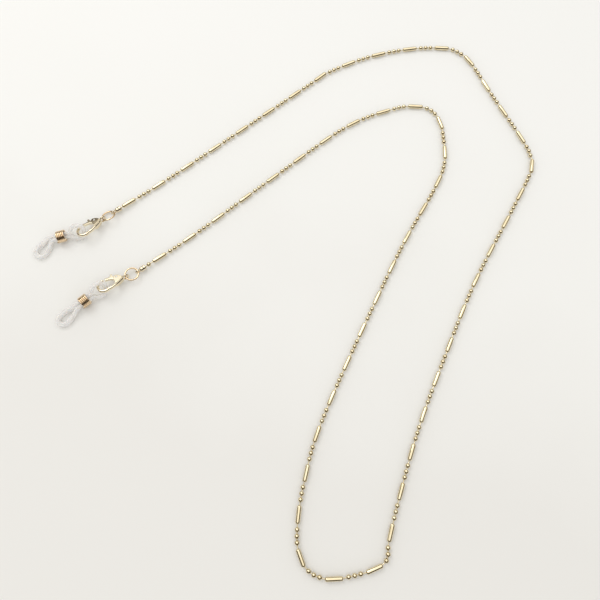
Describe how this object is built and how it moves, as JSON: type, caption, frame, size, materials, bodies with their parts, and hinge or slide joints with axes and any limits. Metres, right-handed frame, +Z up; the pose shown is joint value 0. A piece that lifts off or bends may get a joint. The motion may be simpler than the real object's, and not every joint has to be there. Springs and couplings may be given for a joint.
{
  "type": "eyeglasses chain strap",
  "caption": "Neck strap for eyeglasses: a ball-and-bar chain with a jump ring, lobster clasp and silicone temple loop under a coil sleeve at each end, laid in a long bend.",
  "frame": {"origin": "middle of the laid strap's box, on the plane it lies on", "axes": "+Z up from that plane; +Y along the laid strap's longer side; the two ends point towards -X"},
  "size_m": [0.1742, 0.1812, 0.0052],
  "materials": {
    "gold": "polished pale gold plating",
    "steel": "plain bright steel",
    "silicone": "translucent white silicone, soft sheen"
  },
  "bodies": {
    "chain_segment_01": {"chain_segment_01": "gold", "left_end_cap": "gold"},
    "chain_segment_02": {"chain_segment_02": "gold"},
    "chain_segment_03": {"chain_segment_03": "gold"},
    "chain_segment_04": {"chain_segment_04": "gold"},
    "chain_segment_05": {"chain_segment_05": "gold"},
    "chain_segment_06": {"chain_segment_06": "gold"},
    "chain_segment_07": {"chain_segment_07": "gold"},
    "chain_segment_08": {"chain_segment_08": "gold"},
    "chain_segment_09": {"chain_segment_09": "gold"},
    "chain_segment_10": {"chain_segment_10": "gold"},
    "chain_segment_11": {"chain_segment_11": "gold"},
    "chain_segment_12": {"chain_segment_12": "gold"},
    "chain_segment_13": {"chain_segment_13": "gold"},
    "chain_segment_14": {"chain_segment_14": "gold"},
    "chain_segment_15": {"chain_segment_15": "gold"},
    "chain_segment_16": {"chain_segment_16": "gold"},
    "chain_segment_17": {"chain_segment_17": "gold"},
    "chain_segment_18": {"chain_segment_18": "gold"},
    "chain_segment_19": {"chain_segment_19": "gold"},
    "chain_segment_20": {"chain_segment_20": "gold"},
    "chain_segment_21": {"chain_segment_21": "gold"},
    "chain_segment_22": {"chain_segment_22": "gold"},
    "chain_segment_23": {"chain_segment_23": "gold"},
    "chain_segment_24": {"chain_segment_24": "gold"},
    "chain_segment_25": {"chain_segment_25": "gold"},
    "chain_segment_26": {"chain_segment_26": "gold"},
    "chain_segment_27": {"chain_segment_27": "gold", "right_end_cap": "gold"},
    "left_ring": {"left_jump_ring": "gold"},
    "left_clasp": {"left_clasp_body": "gold", "left_lever_pin": "steel", "left_lever_spring": "steel"},
    "left_lever": {"left_clasp_lever": "gold"},
    "left_loop": {"left_silicone_loop": "silicone"},
    "left_sleeve": {"left_coil_sleeve": "gold"},
    "right_ring": {"right_jump_ring": "gold"},
    "right_clasp": {"right_clasp_body": "gold", "right_lever_pin": "steel", "right_lever_spring": "steel"},
    "right_lever": {"right_clasp_lever": "gold"},
    "right_loop": {"right_silicone_loop": "silicone"},
    "right_sleeve": {"right_coil_sleeve": "gold"}
  },
  "joints": [
    {"name": "left_ring_swing", "type": "hinge", "parent": "chain_segment_01", "child": "left_ring", "pos_m": [-0.06002, 0.02966, 0.00125], "axis": [-0.5989, 0.6828, -0.4185], "range_deg": [-15, 60]},
    {"name": "left_clasp_slide_round_ring", "type": "hinge", "parent": "left_ring", "child": "left_clasp", "pos_m": [-0.06175, 0.02833, 0.00156], "axis": [-0.1575, 0.412, 0.8975], "range_deg": [-60, 15]},
    {"name": "left_lever_open", "type": "hinge", "parent": "left_clasp", "child": "left_lever", "pos_m": [-0.06606, 0.02611, 0.00192], "axis": [-0.0867, 0.3232, 0.9424], "range_deg": [0, 14], "stiffness_Nm_per_rad": 0.004, "springref_deg": -20.05, "deforming": ["left_lever_spring"]},
    {"name": "left_loop_swing", "type": "hinge", "parent": "left_clasp", "child": "left_loop", "pos_m": [-0.06932, 0.02288, 0.00273], "axis": [0.0867, -0.3232, -0.9424], "range_deg": [-20, 20]},
    {"name": "left_sleeve_slide", "type": "slide", "parent": "left_loop", "child": "left_sleeve", "axis": [-0.9798, -0.1823, -0.0824], "range_m": [-0.0009, 0.0009]},
    {"name": "right_ring_swing", "type": "hinge", "parent": "chain_segment_27", "child": "right_ring", "pos_m": [-0.05114, 0.00737, 0.00125], "axis": [-0.3969, 0.9152, -0.0693], "range_deg": [-15, 60]},
    {"name": "right_clasp_slide_round_ring", "type": "hinge", "parent": "right_ring", "child": "right_clasp", "pos_m": [-0.05316, 0.00651, 0.0015], "axis": [0.0767, 0.1083, 0.9912], "range_deg": [-25, 60]},
    {"name": "right_lever_open", "type": "hinge", "parent": "right_clasp", "child": "right_lever", "pos_m": [-0.0578, 0.00513, 0.00183], "axis": [-0.0293, 0.3231, 0.9459], "range_deg": [0, 14], "stiffness_Nm_per_rad": 0.004, "springref_deg": -20.05, "deforming": ["right_lever_spring"]},
    {"name": "right_loop_swing", "type": "hinge", "parent": "right_clasp", "child": "right_loop", "pos_m": [-0.06162, 0.00257, 0.00259], "axis": [0.0293, -0.3231, -0.9459], "range_deg": [-20, 20]},
    {"name": "right_sleeve_slide", "type": "slide", "parent": "right_loop", "child": "right_sleeve", "axis": [-0.8164, -0.5715, -0.0824], "range_m": [-0.0009, 0.0009]},
    {"name": "chain_link_01", "type": "hinge", "parent": "chain_segment_02", "child": "chain_segment_01", "pos_m": [-0.03972, 0.04264, 0.00075], "axis": [0.3895, -0.5902, 0.7071], "range_deg": [-20, 20]},
    {"name": "chain_link_02", "type": "hinge", "parent": "chain_segment_03", "child": "chain_segment_02", "pos_m": [-0.01984, 0.05608, 0.00075], "axis": [-0.399, 0.5838, 0.7071], "range_deg": [-20, 20]},
    {"name": "chain_link_03", "type": "hinge", "parent": "chain_segment_04", "child": "chain_segment_03", "pos_m": [-0.00003, 0.06964, 0.00075], "axis": [-0.3992, 0.5837, -0.7071], "range_deg": [-20, 20]},
    {"name": "chain_link_04", "type": "hinge", "parent": "chain_segment_05", "child": "chain_segment_04", "pos_m": [0.02009, 0.08263, 0.00075], "axis": [0.2869, -0.6463, -0.7071], "range_deg": [-20, 20]},
    {"name": "chain_link_05", "type": "hinge", "parent": "chain_segment_06", "child": "chain_segment_05", "pos_m": [0.04309, 0.08919, 0.00075], "axis": [0.095, -0.7007, 0.7071], "range_deg": [-20, 20]},
    {"name": "chain_link_06", "type": "hinge", "parent": "chain_segment_07", "child": "chain_segment_06", "pos_m": [0.06657, 0.08734, 0.00075], "axis": [0.4424, 0.5516, 0.7071], "range_deg": [-20, 20]},
    {"name": "chain_link_07", "type": "hinge", "parent": "chain_segment_08", "child": "chain_segment_07", "pos_m": [0.0772, 0.06616, 0.00075], "axis": [0.6544, 0.268, -0.7071], "range_deg": [-7, 20]},
    {"name": "chain_link_08", "type": "hinge", "parent": "chain_segment_09", "child": "chain_segment_08", "pos_m": [0.08601, 0.04385, 0.00075], "axis": [-0.6888, -0.16, -0.7071], "range_deg": [-7, 20]},
    {"name": "chain_link_09", "type": "hinge", "parent": "chain_segment_10", "child": "chain_segment_09", "pos_m": [0.07699, 0.02237, 0.00075], "axis": [-0.5933, 0.3848, 0.7071], "range_deg": [-20, 20]},
    {"name": "chain_link_10", "type": "hinge", "parent": "chain_segment_11", "child": "chain_segment_10", "pos_m": [0.06373, 0.00237, 0.00075], "axis": [0.5952, -0.3818, 0.7071], "range_deg": [-20, 20]},
    {"name": "chain_link_11", "type": "hinge", "parent": "chain_segment_12", "child": "chain_segment_11", "pos_m": [0.0518, -0.01845, 0.00075], "axis": [0.6266, -0.3277, -0.7071], "range_deg": [-20, 20]},
    {"name": "chain_link_12", "type": "hinge", "parent": "chain_segment_13", "child": "chain_segment_12", "pos_m": [0.0408, -0.03978, 0.00075], "axis": [-0.6323, 0.3165, -0.7071], "range_deg": [-20, 20]},
    {"name": "chain_link_13", "type": "hinge", "parent": "chain_segment_14", "child": "chain_segment_13", "pos_m": [0.031, -0.06168, 0.00075], "axis": [-0.6575, 0.2602, 0.7071], "range_deg": [-20, 20]},
    {"name": "chain_link_14", "type": "hinge", "parent": "chain_segment_14", "child": "chain_segment_15", "pos_m": [0.02324, -0.08432, 0.00075], "axis": [-0.7063, 0.034, 0.7071], "range_deg": [-20, 20]},
    {"name": "chain_link_15", "type": "hinge", "parent": "chain_segment_15", "child": "chain_segment_16", "pos_m": [0.00138, -0.08855, 0.00075], "axis": [0.3561, 0.6109, -0.7071], "range_deg": [-20, 20]},
    {"name": "chain_link_16", "type": "hinge", "parent": "chain_segment_16", "child": "chain_segment_17", "pos_m": [-0.00074, -0.06612, 0.00075], "axis": [-0.6834, 0.1815, -0.7071], "range_deg": [-20, 20]},
    {"name": "chain_link_17", "type": "hinge", "parent": "chain_segment_17", "child": "chain_segment_18", "pos_m": [0.00754, -0.04365, 0.00075], "axis": [-0.634, 0.3132, 0.7071], "range_deg": [-20, 20]},
    {"name": "chain_link_18", "type": "hinge", "parent": "chain_segment_18", "child": "chain_segment_19", "pos_m": [0.01879, -0.02245, 0.00075], "axis": [0.6198, -0.3403, 0.7071], "range_deg": [-20, 20]},
    {"name": "chain_link_19", "type": "hinge", "parent": "chain_segment_19", "child": "chain_segment_20", "pos_m": [0.0305, -0.0015, 0.00075], "axis": [0.6148, -0.3494, -0.7071], "range_deg": [-20, 20]},
    {"name": "chain_link_20", "type": "hinge", "parent": "chain_segment_20", "child": "chain_segment_21", "pos_m": [0.04291, 0.01904, 0.00075], "axis": [-0.5881, 0.3927, -0.7071], "range_deg": [-20, 20]},
    {"name": "chain_link_21", "type": "hinge", "parent": "chain_segment_21", "child": "chain_segment_22", "pos_m": [0.05535, 0.0395, 0.00075], "axis": [-0.6703, 0.2253, 0.7071], "range_deg": [-20, 20]},
    {"name": "chain_link_22", "type": "hinge", "parent": "chain_segment_22", "child": "chain_segment_23", "pos_m": [0.05386, 0.06269, 0.00075], "axis": [0.4804, 0.5188, 0.7071], "range_deg": [-20, 20]},
    {"name": "chain_link_23", "type": "hinge", "parent": "chain_segment_23", "child": "chain_segment_24", "pos_m": [0.03079, 0.06164, 0.00075], "axis": [-0.2335, 0.6674, -0.7071], "range_deg": [-20, 20]},
    {"name": "chain_link_24", "type": "hinge", "parent": "chain_segment_24", "child": "chain_segment_25", "pos_m": [0.00999, 0.04983, 0.00075], "axis": [0.4051, -0.5796, -0.7071], "range_deg": [-20, 20]},
    {"name": "chain_link_25", "type": "hinge", "parent": "chain_segment_25", "child": "chain_segment_26", "pos_m": [-0.00958, 0.03594, 0.00075], "axis": [0.4093, -0.5766, 0.7071], "range_deg": [-20, 20]},
    {"name": "chain_link_26", "type": "hinge", "parent": "chain_segment_26", "child": "chain_segment_27", "pos_m": [-0.02907, 0.02194, 0.00075], "axis": [-0.405, 0.5796, 0.7071], "range_deg": [-20, 20]}
  ]
}
